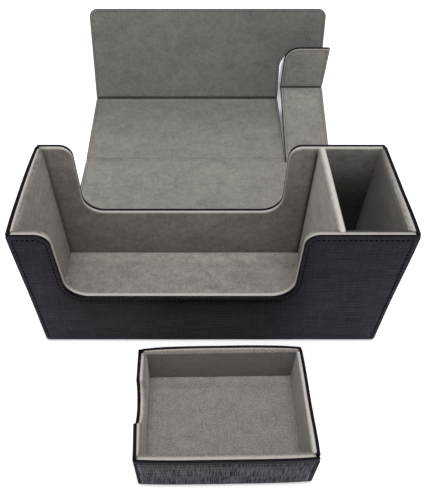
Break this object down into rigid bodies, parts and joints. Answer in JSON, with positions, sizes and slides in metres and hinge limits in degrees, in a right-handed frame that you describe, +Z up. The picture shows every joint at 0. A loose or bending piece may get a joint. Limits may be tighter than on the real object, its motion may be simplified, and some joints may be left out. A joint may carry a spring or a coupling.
{
  "type": "card storage box",
  "caption": "Rigid leatherette card box with a card bay, an end bay, hand cut-outs, a folding wrap-over lid in panels, a small bay lid and a loose lift-out tray.",
  "frame": {"origin": "middle of the underside of the box, which stands on the table", "axes": "+X to the right along the box towards the end bay, +Y to the back where the lid is hinged, +Z up"},
  "size_m": [0.225, 0.4049, 0.104],
  "materials": {
    "leatherette": "black leatherette with a fine woven emboss, satin",
    "suede": "warm grey microfibre, matt",
    "greyboard": "grey bookbinding board, matt",
    "steel": "nickel-plated disc magnet"
  },
  "bodies": {
    "box": {"front_cover": "leatherette", "back_cover": "leatherette", "left_end_cover": "leatherette", "right_end_cover": "leatherette", "base_cover": "leatherette", "base_hinge": "leatherette", "front_board": "greyboard", "back_board": "greyboard", "left_end_board": "greyboard", "right_end_board": "greyboard", "floor_board": "greyboard", "divider_board": "greyboard", "front_lining": "suede", "back_lining": "suede", "left_end_lining": "suede", "right_end_lining": "suede", "card_floor_lining": "suede", "bay_floor_lining": "suede", "divider_lining": "suede", "wall_magnet_left": "steel", "wall_magnet_right": "steel", "wall_magnet_bay": "steel"},
    "back_panel": {"back_panel_cover": "leatherette", "back_panel_board": "greyboard", "back_panel_lining": "suede", "main_top_hinge": "leatherette", "bay_top_hinge": "leatherette"},
    "main_top": {"main_top_cover": "leatherette", "main_top_board": "greyboard", "main_top_lining": "suede", "main_flap_hinge": "leatherette"},
    "main_flap": {"main_flap_cover": "leatherette", "main_flap_board": "greyboard", "main_flap_lining": "suede", "flap_magnet_left": "steel", "flap_magnet_right": "steel"},
    "bay_top": {"bay_top_cover": "leatherette", "bay_top_board": "greyboard", "bay_top_lining": "suede", "bay_flap_hinge": "leatherette"},
    "bay_flap": {"bay_flap_cover": "leatherette", "bay_flap_board": "greyboard", "bay_flap_lining": "suede", "bay_flap_magnet": "steel"},
    "tray": {"tray_base_cover": "leatherette", "tray_front_cover": "leatherette", "tray_back_cover": "leatherette", "tray_left_cover": "leatherette", "tray_right_cover": "leatherette", "tray_floor_board": "greyboard", "tray_front_board": "greyboard", "tray_back_board": "greyboard", "tray_left_board": "greyboard", "tray_right_board": "greyboard", "tray_side_lining": "suede", "tray_floor_lining": "suede"}
  },
  "joints": [
    {"name": "back_panel_fold", "type": "hinge", "parent": "box", "child": "back_panel", "pos_m": [0, 0.0434, 0.0004], "axis": [1, 0, 0], "range_deg": [0, 90]},
    {"name": "main_top_fold", "type": "hinge", "parent": "back_panel", "child": "main_top", "pos_m": [0, 0.1499, 0.0004], "axis": [1, 0, 0], "range_deg": [-6.3, 83.7]},
    {"name": "main_flap_fold", "type": "hinge", "parent": "main_top", "child": "main_flap", "pos_m": [0, 0.23946, 0.01029], "axis": [1, 0, 0], "range_deg": [-63, 27]},
    {"name": "bay_top_fold", "type": "hinge", "parent": "back_panel", "child": "bay_top", "pos_m": [0, 0.1499, 0.0004], "axis": [1, 0, 0], "range_deg": [-18.7, 71.3]},
    {"name": "bay_flap_fold", "type": "hinge", "parent": "bay_top", "child": "bay_flap", "pos_m": [0, 0.23212, 0.02823], "axis": [1, 0, 0], "range_deg": [-76.9, 13.1]},
    {"name": "tray_lift", "type": "slide", "parent": "box", "child": "tray", "axis": [0, 0, 1], "range_m": [0, 0.15]}
  ],
  "couplings": [
    {"joint": "bay_top_fold", "follows": "main_top_fold", "ratio": 0.8518},
    {"joint": "bay_flap_fold", "follows": "main_flap_fold", "ratio": 0.4851}
  ]
}
